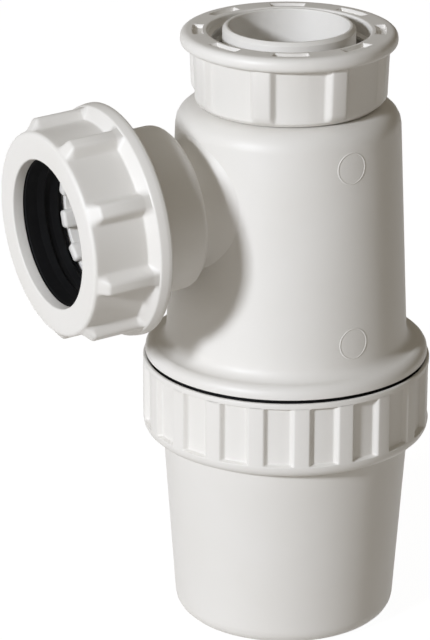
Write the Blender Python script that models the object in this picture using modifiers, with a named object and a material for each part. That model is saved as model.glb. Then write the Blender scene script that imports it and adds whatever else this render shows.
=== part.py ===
"""Anti-syphon bottle trap for a basin waste: 40 mm size, 75 mm water seal.

Metres, +Z up. The origin is the centre of the bottle's flat base and the outlet points along -X.
"""

import math

import bmesh
import bpy
from mathutils import Matrix, Vector

# Fits and common walls
SEAT_GAP = 0.0003
THREAD_GAP = 0.0004
MOULDED_WALL = 0.0025

# Dip tube: the bore that the other radii are built round
TUBE_R = 0.01955
TUBE_WALL = 0.0019
TUBE_SIDE_GAP = 0.00035
TUBE_FLANGE_WIDTH = 0.00335
TUBE_FLANGE_THICKNESS = 0.0022
TUBE_SEAL_THICKNESS = 0.0016
SPIGOT_HEIGHT = 0.0136
SPIGOT_CHAMFER = 0.00095
SPIGOT_INNER_CHAMFER = 0.0003

# Anti-syphon by-pass round the dip tube
WATER_SEAL = 0.075
TUBE_BELOW_SLEEVE = 0.0080
SLEEVE_CHANNEL = 0.0030
SLEEVE_WALL = 0.0015
SLEEVE_ABOVE_OUTLET = 0.0143
SLEEVE_RING = 0.0020
CENTRING_RIB_COUNT = 4
CENTRING_RIB_WIDTH = 0.0020
CENTRING_RIB_LENGTH = 0.0100
CENTRING_RIB_RISE = 0.0020
PORT_WIDTH = 0.0070
PORT_HEIGHT = 0.0080
PORT_DROP = 0.0010

# Trap body
CHAMBER_CHANNEL = 0.00675
BODY_TAPER = 0.0028
SKIRT_STEP = 0.0015
SKIRT_WALL = 0.0034
SKIRT_LENGTH = 0.0143
SKIRT_END_GAP = 0.0015
SKIRT_CHAMFER = 0.0009
FLANGE_LEDGE = 0.0048
FLANGE_THICKNESS = 0.0038
FLANGE_ROUND = 0.0026
FLANGE_FILLET = 0.0035
SHOULDER_ROUND = 0.0062
NECK_WALL = 0.0020
BEAD_PROUD = 0.0013
BEAD_HEIGHT = 0.0023
BEAD_CHAMFER = 0.0009

# Bottle: cup and ribbed collar
CUP_STEP = 0.0004
CUP_TAPER = 0.0041
CUP_HEIGHT = 0.0591
CUP_CORNER_R = 0.0054
CUP_FLOOR = 0.0027
COLLAR_WALL = 0.00515
COLLAR_HEIGHT = 0.0238
COLLAR_LOWER_ROUND = 0.0042
COLLAR_RIM_WALL = 0.00105
COLLAR_RIB_COUNT = 20
COLLAR_RIB_START = math.radians(-6.0)
WINDOW_FLOOR_WIDTH = 0.0067
WINDOW_DEPTH = 0.0015
WINDOW_SIDE_RUN = 0.0011
WINDOW_END_RUN = 0.0003
WINDOW_TOP_MARGIN = 0.0017
WINDOW_BOTTOM_MARGIN = 0.0039

# Seal under the body's flange
BOTTLE_SEAL_THICKNESS = 0.0020
BOTTLE_SEAL_PROUD = 0.0003

# Inlet nut and washer
INLET_TAIL_SPACE = 0.00395
INLET_BEAD_GAP = 0.0009
INLET_NUT_LIP = 0.0024
INLET_NUT_HEIGHT = 0.0217
INLET_NUT_WALL = 0.0035
INLET_RIB_PROUD = 0.0018
INLET_PANEL_FLARE = 0.0005
INLET_RIM_PROUD = 0.0043
INLET_RIM_THICKNESS = 0.0042
INLET_RIB_FOOT_RUN = 0.0036
INLET_FOOT_CHAMFER = 0.0013
INLET_MOUTH_CHAMFER = 0.0010
INLET_RIB_COUNT = 8
INLET_RIB_START = math.radians(-0.7)
INLET_RIB_TOP = math.radians(9.5)
INLET_RIB_FOOT = math.radians(15.6)
INLET_NUT_SHOULDER_GAP = 0.0004
POCKET_ARC = math.radians(21.0)
POCKET_LENGTH = 0.0030
POCKET_DEPTH = 0.0012
POCKET_START = math.radians(15.8)
POCKET_INSET = 0.0010
WASHER_THICKNESS = 0.0030

# Outlet branch, round the pipe that it takes
PIPE_R = 0.0215
OUTLET_RISE = 0.0539
OUTLET_HEADROOM = 0.0237
OUTLET_FALL = math.radians(3.0)
BRANCH_NECK_R = 0.0160
BRANCH_NECK_LENGTH = 0.0066
BRANCH_FILLET = 0.0040
BRANCH_FILLET_RUN = 0.0032
BRANCH_FOOT_SUNK = 0.00015
BRANCH_ROOT_SUNK = 0.0015
SOCKET_LENGTH = 0.0341
SOCKET_WALL = 0.0028
SOCKET_BACK_ROUND = 0.0020
SOCKET_BACK_WALL = 0.0033
SOCKET_THREAD_PROUD = 0.0019
SOCKET_THREAD_LENGTH = 0.0156
SOCKET_CHAMFER = 0.0007
SEAL_POCKET_DEPTH = 0.0106
STOP_STEP = 0.0028
STOP_RIB_COUNT = 12
STOP_RIB_START = math.radians(13.0)
STOP_RIB_HEIGHT = 0.0026
STOP_RIB_ROOT = 0.0005
STOP_RIB_WIDTH = 0.0054
STOP_TOOTH = 0.0020
STOP_TOOTH_CHAMFER = 0.0011

# Outlet nut and seal
PIPE_HOLE_GAP = 0.00036
PIPE_SEAL_GAP = 0.0001
OUTLET_NUT_LIP = 0.0035
OUTLET_NUT_WALL = 0.0034
OUTLET_PANEL_FLARE = 0.0003
OUTLET_RIB_PROUD = 0.0033
OUTLET_RIM_PROUD = 0.0043
OUTLET_NUT_LENGTH = 0.0229
OUTLET_RIM_THICKNESS = 0.0034
OUTLET_SWEEP_HEIGHT = 0.0024
OUTLET_SWEEP_PROUD = 0.0017
OUTLET_RIM_ROUND = 0.0011
OUTLET_FACE_BEVEL = 0.0012
OUTLET_RIB_BEVEL = 0.0033
OUTLET_RIB_COUNT = 9
OUTLET_RIB_START = math.radians(27.0)
OUTLET_RIB_TOP = math.radians(7.0)
OUTLET_RIB_FOOT = math.radians(12.0)
OUTLET_SEAL_HEAD = 0.0018
OUTLET_SEAL_WALL = 0.0015
OUTLET_SEAL_END_GAP = 0.0006
OUTLET_SEAL_LIP = 0.0007
OUTLET_SEAL_LIP_PITCH = 0.0042
OUTLET_SEAL_LIP_BACK = 0.0007
OUTLET_SEAL_LIP_LEAD = 0.0021

# Facets round each kind of turned piece
BODY_STEPS = 48
BRANCH_STEPS = 36
TUBE_STEPS = 32

# Radii, from the dip tube outwards
TUBE_BORE_R = TUBE_R - TUBE_WALL
TUBE_FLANGE_R = TUBE_R + TUBE_FLANGE_WIDTH
SLEEVE_BORE_R = TUBE_R + SLEEVE_CHANNEL
SLEEVE_R = SLEEVE_BORE_R + SLEEVE_WALL
NECK_BORE_R = TUBE_R + TUBE_SIDE_GAP
NECK_R = NECK_BORE_R + NECK_WALL
BEAD_R = NECK_R + BEAD_PROUD
BODY_TOP_R = SLEEVE_R + CHAMBER_CHANNEL + MOULDED_WALL
BODY_BASE_R = BODY_TOP_R + BODY_TAPER
SKIRT_R = BODY_BASE_R + SKIRT_STEP
FLANGE_R = SKIRT_R + FLANGE_LEDGE
COLLAR_BORE_R = SKIRT_R + THREAD_GAP
COLLAR_R = COLLAR_BORE_R + COLLAR_WALL
CUP_TOP_R = SKIRT_R - CUP_STEP
CUP_BASE_R = CUP_TOP_R - CUP_TAPER
INLET_THREAD_R = TUBE_R + INLET_TAIL_SPACE
INLET_MOUTH_R = INLET_THREAD_R + INLET_MOUTH_CHAMFER
INLET_CHAMBER_R = BEAD_R + INLET_BEAD_GAP
INLET_PANEL_R = INLET_CHAMBER_R + INLET_NUT_WALL
INLET_RIB_R = INLET_PANEL_R + INLET_RIB_PROUD
INLET_RIM_R = INLET_PANEL_R + INLET_RIM_PROUD

# Heights up the trap's axis
COLLAR_TOP = CUP_HEIGHT + COLLAR_HEIGHT
BOTTLE_SEAL_Z = COLLAR_TOP + BOTTLE_SEAL_PROUD + SEAT_GAP - BOTTLE_SEAL_THICKNESS
BODY_Z = BOTTLE_SEAL_Z + BOTTLE_SEAL_THICKNESS + SEAT_GAP
SHOULDER_HEIGHT = OUTLET_RISE + OUTLET_HEADROOM
NECK_HEIGHT = INLET_NUT_SHOULDER_GAP + INLET_NUT_LIP + SEAT_GAP + BEAD_HEIGHT
NECK_TOP = SHOULDER_HEIGHT + NECK_HEIGHT
TAPER_TOP = SHOULDER_HEIGHT - SHOULDER_ROUND
TAPER_BASE = FLANGE_THICKNESS + FLANGE_FILLET
TAPER_SLOPE = (BODY_TOP_R - BODY_BASE_R) / (TAPER_TOP - TAPER_BASE)
TUBE_SEAL_Z = BODY_Z + NECK_TOP + SEAT_GAP
TUBE_Z = TUBE_SEAL_Z + TUBE_SEAL_THICKNESS + SEAT_GAP
WASHER_Z = TUBE_Z + TUBE_FLANGE_THICKNESS + SEAT_GAP
INLET_NUT_Z = BODY_Z + SHOULDER_HEIGHT + INLET_NUT_SHOULDER_GAP
OUTLET_Z = BODY_Z + OUTLET_RISE

# Outlet, along and round its own axis
BRANCH_BORE_R = BRANCH_NECK_R - MOULDED_WALL
SOCKET_BACK = BODY_TOP_R + BRANCH_NECK_LENGTH
SOCKET_END = SOCKET_BACK + SOCKET_LENGTH
OUTLET_REACH = SOCKET_END + OUTLET_SEAL_HEAD + OUTLET_NUT_LIP + 2 * SEAT_GAP
OUTLET_HOLE_R = PIPE_R + PIPE_HOLE_GAP
OUTLET_SEAL_BORE_R = PIPE_R + PIPE_SEAL_GAP
SEAL_POCKET_R = OUTLET_SEAL_BORE_R + OUTLET_SEAL_WALL + SEAT_GAP
STOP_BORE_R = SEAL_POCKET_R - STOP_STEP
SOCKET_THREAD_R = SEAL_POCKET_R + SOCKET_WALL
SOCKET_R = SOCKET_THREAD_R - SOCKET_THREAD_PROUD
OUTLET_NUT_BORE_R = SOCKET_THREAD_R + THREAD_GAP
OUTLET_PANEL_R = OUTLET_NUT_BORE_R + OUTLET_NUT_WALL
OUTLET_RIB_R = OUTLET_PANEL_R + OUTLET_RIB_PROUD
OUTLET_RIM_R = OUTLET_PANEL_R + OUTLET_RIM_PROUD

# By-pass heights, from the weir where water leaves the chamber
WEIR_Z = OUTLET_Z - (BODY_BASE_R - MOULDED_WALL) * math.sin(OUTLET_FALL) - BRANCH_BORE_R
SLEEVE_TOP = OUTLET_Z + SLEEVE_ABOVE_OUTLET
SLEEVE_BOTTOM = WEIR_Z - WATER_SEAL
TUBE_END = SLEEVE_BOTTOM - TUBE_BELOW_SLEEVE

# Finishes: colour and roughness
WHITE_PLASTIC = ((0.86, 0.85, 0.82, 1.0), 0.38)
BLACK_RUBBER = ((0.015, 0.015, 0.016, 1.0), 0.60)

# Mesh joining
MERGE_DISTANCE = 0.00001
SHARP_EDGE = math.radians(35.0)


def clear_scene():
    for obj in list(bpy.data.objects):
        bpy.data.objects.remove(obj, do_unlink=True)


def add_collection(name):
    collection = bpy.data.collections.new(name)
    bpy.context.scene.collection.children.link(collection)
    return collection


def add_material(name, finish):
    material = bpy.data.materials.new(name)
    material.use_nodes = True
    shader = material.node_tree.nodes["Principled BSDF"]
    shader.inputs["Base Color"].default_value = finish[0]
    shader.inputs["Roughness"].default_value = finish[1]
    shader.inputs["Metallic"].default_value = 0.0
    return material


def add_piece(obj, collection, finish):
    """Puts a finished piece in the trap's collection with a material of its own."""
    collection.objects.link(obj)
    obj.data.materials.append(add_material(obj.name + "_finish", finish))
    return obj


def add_tool(obj, collection, carrier=None):
    """Puts a shape that only cuts or joins in the cutters' collection."""
    collection.objects.link(obj)
    obj.parent = carrier
    obj.hide_render = True
    obj.display_type = "WIRE"
    return obj


def combine(obj, tool, operation):
    modifier = obj.modifiers.new(tool.name, "BOOLEAN")
    modifier.operation = operation
    modifier.object = tool


def arc(centre_r, centre_z, radius, start, end, steps):
    """Profile points on an arc, with angles in degrees from outward towards upward."""
    points = []
    for i in range(steps + 1):
        angle = math.radians(start + (end - start) * i / steps)
        points.append((centre_r + radius * math.cos(angle), centre_z + radius * math.sin(angle)))
    return points


def turned(name, profile, steps, closed=True):
    """A profile of (radius, height) points, turned round Z with a Screw modifier."""
    mesh = bpy.data.meshes.new(name)
    edges = [(i, i + 1) for i in range(len(profile) - 1)]
    if closed:
        edges.append((len(profile) - 1, 0))
    mesh.from_pydata([(r, 0.0, z) for r, z in profile], edges, [])
    obj = bpy.data.objects.new(name, mesh)
    screw = obj.modifiers.new("Turn", "SCREW")
    screw.steps = steps
    screw.render_steps = steps
    screw.use_merge_vertices = True
    screw.merge_threshold = MERGE_DISTANCE
    screw.use_smooth_shade = True
    return obj


def skinned(name, rings, closed):
    """A surface over rings of equal count; open ends close with a fan round the ring's middle."""
    bm = bmesh.new()
    rows = [[bm.verts.new(point) for point in ring] for ring in rings]
    pairs = list(zip(rows, rows[1:]))
    if closed:
        pairs.append((rows[-1], rows[0]))
    for lower, upper in pairs:
        for i in range(len(lower)):
            j = (i + 1) % len(lower)
            bm.faces.new((lower[i], lower[j], upper[j], upper[i]))
    if not closed:
        for row in (rows[0], rows[-1]):
            middle = sum((vert.co for vert in row), Vector()) / len(row)
            hub = bm.verts.new(middle)
            for i in range(len(row)):
                bm.faces.new((row[i], row[(i + 1) % len(row)], hub))
    bmesh.ops.recalc_face_normals(bm, faces=bm.faces)
    mesh = bpy.data.meshes.new(name)
    bm.to_mesh(mesh)
    bm.free()
    mesh.shade_smooth()
    mesh.set_sharp_from_angle(angle=SHARP_EDGE)
    return bpy.data.objects.new(name, mesh)


def block(bm, size, place):
    """Adds a box of the given size at a place, and returns its corners."""
    matrix = place @ Matrix.Diagonal((*size, 1.0))
    return bmesh.ops.create_cube(bm, size=1.0, matrix=matrix)["verts"]


def blocks_object(name, bm):
    mesh = bpy.data.meshes.new(name)
    bm.to_mesh(mesh)
    bm.free()
    return bpy.data.objects.new(name, mesh)


def ribbed_nut(name, section, rib_count, rib_start, rib_top, rib_foot):
    """A closed section of (panel radius, rib radius, height) points, carried round a ribbed nut."""
    pitch = 2 * math.pi / rib_count
    half_gap = (pitch - rib_foot) / 2
    turns = []
    for rib in range(rib_count):
        middle = rib_start + rib * pitch
        turns.append((middle - rib_foot / 2, False))
        turns.append((middle - rib_top / 2, True))
        turns.append((middle + rib_top / 2, True))
        turns.append((middle + rib_foot / 2, False))
        turns.append((middle + rib_foot / 2 + half_gap, False))
    rings = []
    for panel_r, rib_r, height in section:
        ring = []
        for angle, on_rib in turns:
            radius = rib_r if on_rib else panel_r
            ring.append((radius * math.cos(angle), radius * math.sin(angle), height))
        rings.append(ring)
    return skinned(name, rings, closed=True)


def plain(points):
    """Section points that are round, with no rib."""
    return [(r, r, z) for r, z in points]


def cup_radius(height):
    return CUP_BASE_R + (CUP_TOP_R - CUP_BASE_R) * height / CUP_HEIGHT


def make_window_cutter():
    """Tapered blocks that leave the collar's ribs standing between them."""
    bm = bmesh.new()
    bottom = CUP_HEIGHT + WINDOW_BOTTOM_MARGIN
    top = COLLAR_TOP - WINDOW_TOP_MARGIN
    floor_r = COLLAR_R - WINDOW_DEPTH
    floor_width = WINDOW_FLOOR_WIDTH
    floor_length = top - bottom - 2 * WINDOW_END_RUN
    size = (2 * WINDOW_DEPTH, floor_width + 4 * WINDOW_SIDE_RUN, floor_length + 4 * WINDOW_END_RUN)
    draft = Vector((1.0, floor_width / size[1], floor_length / size[2]))
    pitch = 2 * math.pi / COLLAR_RIB_COUNT
    for i in range(COLLAR_RIB_COUNT):
        turn = Matrix.Rotation(COLLAR_RIB_START + (i + 0.5) * pitch, 4, "Z")
        place = turn @ Matrix.Translation((floor_r + size[0] / 2, 0.0, (bottom + top) / 2))
        verts = block(bm, size, place)
        local = place.inverted()
        inner = [vert for vert in verts if (local @ vert.co).x < 0.0]
        bmesh.ops.scale(bm, vec=draft, space=local, verts=inner)
    return blocks_object("collar_windows", bm)


def make_bottle(pieces, tools):
    recess_r = COLLAR_R - COLLAR_RIM_WALL
    recess_z = BOTTLE_SEAL_Z - SEAT_GAP
    ledge_z = BODY_Z - SKIRT_LENGTH - SKIRT_END_GAP
    inner_corner = CUP_CORNER_R - MOULDED_WALL
    corner_r = cup_radius(CUP_CORNER_R)
    inside = [(0.0, CUP_FLOOR)]
    inside += arc(corner_r - CUP_CORNER_R, CUP_FLOOR + inner_corner, inner_corner, -90, 0, 2)
    inside += [(cup_radius(ledge_z) - MOULDED_WALL, ledge_z), (COLLAR_BORE_R, ledge_z)]
    inside += [(COLLAR_BORE_R, recess_z), (recess_r, recess_z), (recess_r, COLLAR_TOP)]
    rim_round = COLLAR_RIM_WALL / 2
    outside = arc(COLLAR_R - rim_round, COLLAR_TOP - rim_round, rim_round, 90, 0, 2)
    lower = COLLAR_LOWER_ROUND
    outside += arc(COLLAR_R - lower, CUP_HEIGHT + lower, lower, 0, -90, 4)
    outside += [(CUP_TOP_R, CUP_HEIGHT)]
    outside += arc(corner_r - CUP_CORNER_R, CUP_CORNER_R, CUP_CORNER_R, 0, -90, 4)
    outside += [(0.0, 0.0)]
    bottle = turned("bottle", inside + outside, BODY_STEPS, closed=False)
    windows = add_tool(make_window_cutter(), tools, bottle)
    combine(bottle, windows, "DIFFERENCE")
    return add_piece(bottle, pieces, WHITE_PLASTIC)


def make_bottle_seal(pieces):
    inner = SKIRT_R + SEAT_GAP
    outer = COLLAR_R - COLLAR_RIM_WALL - SEAT_GAP
    top = BOTTLE_SEAL_THICKNESS
    seal = turned("bottle_seal", [(outer, top), (outer, 0.0), (inner, 0.0), (inner, top)], BODY_STEPS)
    seal.location = (0.0, 0.0, BOTTLE_SEAL_Z)
    return add_piece(seal, pieces, BLACK_RUBBER)


def body_profile():
    """Section of the body: down its outside from the neck's mouth and back up the chamber."""
    profile = [(NECK_BORE_R, NECK_TOP), (BEAD_R - BEAD_CHAMFER, NECK_TOP)]
    profile += [(BEAD_R, NECK_TOP - BEAD_CHAMFER)]
    profile += [(BEAD_R, NECK_TOP - BEAD_HEIGHT), (NECK_R, NECK_TOP - BEAD_HEIGHT)]
    profile += [(NECK_R, SHOULDER_HEIGHT)]
    profile += arc(BODY_TOP_R - SHOULDER_ROUND, TAPER_TOP, SHOULDER_ROUND, 90, 0, 5)
    profile += arc(BODY_BASE_R + FLANGE_FILLET, TAPER_BASE, FLANGE_FILLET, 180, 270, 4)
    round_z = FLANGE_THICKNESS - FLANGE_ROUND
    profile += arc(FLANGE_R - FLANGE_ROUND, round_z, FLANGE_ROUND, 90, 0, 3)
    profile += [(FLANGE_R, 0.0), (SKIRT_R, 0.0)]
    skirt_bore = SKIRT_R - SKIRT_WALL
    profile += [(SKIRT_R, SKIRT_CHAMFER - SKIRT_LENGTH), (SKIRT_R - SKIRT_CHAMFER, -SKIRT_LENGTH)]
    profile += [(skirt_bore, -SKIRT_LENGTH), (skirt_bore, 0.0), (BODY_BASE_R - MOULDED_WALL, TAPER_BASE)]
    profile += arc(BODY_TOP_R - SHOULDER_ROUND, TAPER_TOP, SHOULDER_ROUND - MOULDED_WALL, 0, 90, 3)
    profile += [(NECK_BORE_R, SHOULDER_HEIGHT - MOULDED_WALL)]
    return profile


def wall_distance(across, up):
    """How far out along the branch a line beside its axis leaves the body's tapered wall."""
    sine = math.sin(OUTLET_FALL)
    cosine = math.cos(OUTLET_FALL)
    radius = BODY_BASE_R + TAPER_SLOPE * (OUTLET_RISE + up * cosine - TAPER_BASE)
    shrink = TAPER_SLOPE * sine
    a = cosine ** 2 - shrink ** 2
    b = cosine * up * sine + radius * shrink
    c = (up * sine) ** 2 + across ** 2 - radius ** 2
    return (math.sqrt(b * b - a * c) - b) / a


def make_branch_root():
    """The branch's neck, flared so that it runs into the round, tapered wall as one moulding."""
    steps = 5
    foot_r = BRANCH_NECK_R + BRANCH_FILLET
    core_r = BRANCH_BORE_R - MOULDED_WALL / 2
    rings = [[] for _ in range(steps + 4)]
    for i in range(BRANCH_STEPS):
        angle = 2 * math.pi * (i + 0.5) / BRANCH_STEPS
        cosine = math.cos(angle)
        sine = math.sin(angle)
        foot = wall_distance(foot_r * cosine, foot_r * sine) - BRANCH_FOOT_SUNK
        corner = wall_distance(BRANCH_NECK_R * cosine, BRANCH_NECK_R * sine)
        core = wall_distance(core_r * cosine, core_r * sine)
        crown = corner + BRANCH_FILLET_RUN
        rings[0].append((core_r * cosine, core_r * sine, core - BRANCH_ROOT_SUNK))
        rings[1].append((foot_r * cosine, foot_r * sine, foot - BRANCH_ROOT_SUNK))
        for k in range(steps + 1):
            t = k / steps
            radius = BRANCH_NECK_R + BRANCH_FILLET * (1 - t) ** 2
            out = foot * (1 - t) ** 2 + 2 * corner * t * (1 - t) + crown * t ** 2
            rings[k + 2].append((radius * cosine, radius * sine, out))
        rings[-1].append((BRANCH_NECK_R * cosine, BRANCH_NECK_R * sine, SOCKET_BACK + SOCKET_BACK_WALL / 2))
    return skinned("branch_root", rings, closed=False)


def make_socket():
    """Outside of the outlet socket with its male thread, as a solid."""
    thread_back = SOCKET_END - SOCKET_THREAD_LENGTH
    profile = [(0.0, SOCKET_END), (SOCKET_THREAD_R - SOCKET_CHAMFER, SOCKET_END)]
    profile += [(SOCKET_THREAD_R, SOCKET_END - SOCKET_CHAMFER), (SOCKET_THREAD_R, thread_back)]
    profile += [(SOCKET_R, thread_back - SOCKET_CHAMFER)]
    back_round = SOCKET_BACK_ROUND
    profile += arc(SOCKET_R - back_round, SOCKET_BACK + back_round, back_round, 0, -90, 3)
    profile += [(0.0, SOCKET_BACK)]
    return turned("socket", profile, BRANCH_STEPS, closed=False)


def make_branch_bore():
    """Seal pocket, pipe stop bore and waterway, as one stepped plug."""
    pocket_end = SOCKET_END - SEAL_POCKET_DEPTH
    bottom = SOCKET_BACK + SOCKET_BACK_WALL
    inside = BODY_TOP_R / 2
    profile = [(0.0, SOCKET_END + MOULDED_WALL), (SEAL_POCKET_R, SOCKET_END + MOULDED_WALL)]
    profile += [(SEAL_POCKET_R, pocket_end), (STOP_BORE_R, pocket_end), (STOP_BORE_R, bottom)]
    profile += [(BRANCH_BORE_R, bottom), (BRANCH_BORE_R, inside), (0.0, inside)]
    return turned("branch_bore", profile, BRANCH_STEPS, closed=False)


def make_stop_ribs():
    """Axial ribs in the socket: their toothed ends stop the pipe."""
    bm = bmesh.new()
    root_r = STOP_BORE_R + STOP_RIB_ROOT
    front = SOCKET_END - SEAL_POCKET_DEPTH + STOP_TOOTH
    back = SOCKET_BACK + SOCKET_BACK_WALL / 2
    height = STOP_RIB_HEIGHT + STOP_RIB_ROOT
    for i in range(STOP_RIB_COUNT):
        turn = Matrix.Rotation(STOP_RIB_START + 2 * math.pi * i / STOP_RIB_COUNT, 4, "Z")
        place = turn @ Matrix.Translation((root_r - height / 2, 0.0, (front + back) / 2))
        block(bm, (height, STOP_RIB_WIDTH, front - back), place)
    ribs = blocks_object("stop_ribs", bm)
    bevel = ribs.modifiers.new("Rounded teeth", "BEVEL")
    bevel.width = STOP_TOOTH_CHAMFER
    bevel.segments = 1
    return ribs


def make_trap_body(pieces, tools, branch):
    body = turned("trap_body", body_profile(), BODY_STEPS)
    body.location = (0.0, 0.0, BODY_Z)
    combine(body, add_tool(make_branch_root(), tools, branch), "UNION")
    combine(body, add_tool(make_socket(), tools, branch), "UNION")
    combine(body, add_tool(make_branch_bore(), tools, branch), "DIFFERENCE")
    combine(body, add_tool(make_stop_ribs(), tools, branch), "UNION")
    return add_piece(body, pieces, WHITE_PLASTIC)


def make_port_cutter(name, turn):
    """A bar across the dip tube that opens two ports."""
    bm = bmesh.new()
    middle = SLEEVE_TOP - SLEEVE_RING - PORT_DROP - PORT_HEIGHT / 2 - TUBE_Z
    place = Matrix.Translation((0.0, 0.0, middle)) @ Matrix.Rotation(turn, 4, "Z")
    block(bm, (4 * TUBE_R, PORT_WIDTH, PORT_HEIGHT), place)
    return blocks_object(name, bm)


def make_dip_tube(pieces, tools):
    rim = TUBE_FLANGE_THICKNESS + SPIGOT_HEIGHT
    end = TUBE_END - TUBE_Z
    inner = SPIGOT_INNER_CHAMFER
    profile = [(TUBE_R - SPIGOT_CHAMFER, rim), (TUBE_R, rim - SPIGOT_CHAMFER)]
    profile += [(TUBE_R, TUBE_FLANGE_THICKNESS)]
    profile += [(TUBE_FLANGE_R, TUBE_FLANGE_THICKNESS), (TUBE_FLANGE_R, 0.0), (TUBE_R, 0.0)]
    profile += [(TUBE_R, end), (TUBE_BORE_R, end), (TUBE_BORE_R, rim - inner)]
    profile += [(TUBE_BORE_R + inner, rim)]
    tube = turned("dip_tube", profile, TUBE_STEPS)
    tube.location = (0.0, 0.0, TUBE_Z)
    for i in range(2):
        turn = math.radians(45.0 + 90.0 * i)
        cutter = add_tool(make_port_cutter(f"ports_{i + 1}", turn), tools, tube)
        combine(tube, cutter, "DIFFERENCE")
    return add_piece(tube, pieces, WHITE_PLASTIC)


def make_dip_tube_seal(pieces):
    top = TUBE_SEAL_THICKNESS
    inner = NECK_BORE_R
    outer = NECK_R + BEAD_PROUD / 2
    seal = turned("dip_tube_seal", [(outer, top), (outer, 0.0), (inner, 0.0), (inner, top)], TUBE_STEPS)
    seal.location = (0.0, 0.0, TUBE_SEAL_Z)
    return add_piece(seal, pieces, BLACK_RUBBER)


def make_centring_ribs():
    """Four short ribs that hold the sleeve's open end off the dip tube."""
    bm = bmesh.new()
    inner = TUBE_R + SEAT_GAP
    outer = SLEEVE_BORE_R + SLEEVE_WALL / 2
    middle = CENTRING_RIB_RISE + CENTRING_RIB_LENGTH / 2
    for i in range(CENTRING_RIB_COUNT):
        turn = Matrix.Rotation(2 * math.pi * i / CENTRING_RIB_COUNT, 4, "Z")
        place = turn @ Matrix.Translation(((inner + outer) / 2, 0.0, middle))
        block(bm, (outer - inner, CENTRING_RIB_WIDTH, CENTRING_RIB_LENGTH), place)
    return blocks_object("centring_ribs", bm)


def make_bypass_sleeve(pieces, tools):
    height = SLEEVE_TOP - SLEEVE_BOTTOM
    ring_r = TUBE_R + SEAT_GAP
    edge = SLEEVE_WALL / 2
    profile = [(SLEEVE_R - edge, height), (SLEEVE_R, height - edge), (SLEEVE_R, 0.0), (SLEEVE_BORE_R, 0.0)]
    profile += [(SLEEVE_BORE_R, height - SLEEVE_RING), (ring_r, height - SLEEVE_RING), (ring_r, height)]
    sleeve = turned("bypass_sleeve", profile, TUBE_STEPS)
    sleeve.location = (0.0, 0.0, SLEEVE_BOTTOM)
    combine(sleeve, add_tool(make_centring_ribs(), tools, sleeve), "UNION")
    return add_piece(sleeve, pieces, WHITE_PLASTIC)


def make_inlet_washer(pieces):
    top = WASHER_THICKNESS
    inner = TUBE_R + SEAT_GAP
    outer = INLET_THREAD_R - SEAT_GAP
    washer = turned("inlet_washer", [(outer, top), (outer, 0.0), (inner, 0.0), (inner, top)], TUBE_STEPS)
    washer.location = (0.0, 0.0, WASHER_Z)
    return add_piece(washer, pieces, BLACK_RUBBER)


def make_pocket_cutter():
    """Shallow curved pockets in the inlet nut's rim."""
    bm = bmesh.new()
    inner = INLET_MOUTH_R + POCKET_INSET
    outer = inner + POCKET_LENGTH
    pitch = 2 * math.pi / INLET_RIB_COUNT
    for i in range(INLET_RIB_COUNT):
        middle = POCKET_START + i * pitch
        corners = []
        for radius, side in ((inner, 1), (inner, 0), (inner, -1), (outer, -1), (outer, 0), (outer, 1)):
            angle = middle + side * POCKET_ARC / 2
            corners.append((radius * math.cos(angle), radius * math.sin(angle)))
        floor = [bm.verts.new((x, y, INLET_NUT_HEIGHT - POCKET_DEPTH)) for x, y in corners]
        face = bm.faces.new(floor)
        grown = bmesh.ops.extrude_face_region(bm, geom=[face])["geom"]
        raised = [item for item in grown if isinstance(item, bmesh.types.BMVert)]
        bmesh.ops.translate(bm, vec=(0.0, 0.0, 2 * POCKET_DEPTH), verts=raised)
    bmesh.ops.recalc_face_normals(bm, faces=bm.faces)
    return blocks_object("rim_pockets", bm)


def make_inlet_nut(pieces, tools):
    top = INLET_NUT_HEIGHT
    rim_round = INLET_RIM_THICKNESS / 2
    rim_r = INLET_RIM_R - rim_round
    section = plain(arc(rim_r, top - rim_round, rim_round, 90, -50, 5))
    flared_z = top - INLET_RIM_THICKNESS
    section += [(INLET_PANEL_R + INLET_PANEL_FLARE, INLET_RIB_R + INLET_PANEL_FLARE, flared_z)]
    section += [(INLET_PANEL_R, INLET_RIB_R, INLET_RIB_FOOT_RUN)]
    half_rib_r = (INLET_PANEL_R + INLET_RIB_R) / 2
    section += [(INLET_PANEL_R, half_rib_r, (INLET_RIB_FOOT_RUN + INLET_FOOT_CHAMFER) / 2)]
    foot_r = INLET_PANEL_R - INLET_FOOT_CHAMFER
    section += plain([(INLET_PANEL_R, INLET_FOOT_CHAMFER), (foot_r, 0.0)])
    lip_r = NECK_R + THREAD_GAP
    section += plain([(lip_r, 0.0), (lip_r, INLET_NUT_LIP), (INLET_CHAMBER_R, INLET_NUT_LIP)])
    chamber_top = WASHER_Z - INLET_NUT_Z
    section += plain([(INLET_CHAMBER_R, chamber_top), (INLET_THREAD_R, chamber_top)])
    section += plain([(INLET_THREAD_R, top - INLET_MOUTH_CHAMFER), (INLET_MOUTH_R, top)])
    nut = ribbed_nut("inlet_nut", section, INLET_RIB_COUNT, INLET_RIB_START, INLET_RIB_TOP, INLET_RIB_FOOT)
    nut.location = (0.0, 0.0, INLET_NUT_Z)
    combine(nut, add_tool(make_pocket_cutter(), tools, nut), "DIFFERENCE")
    return add_piece(nut, pieces, WHITE_PLASTIC)


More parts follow.
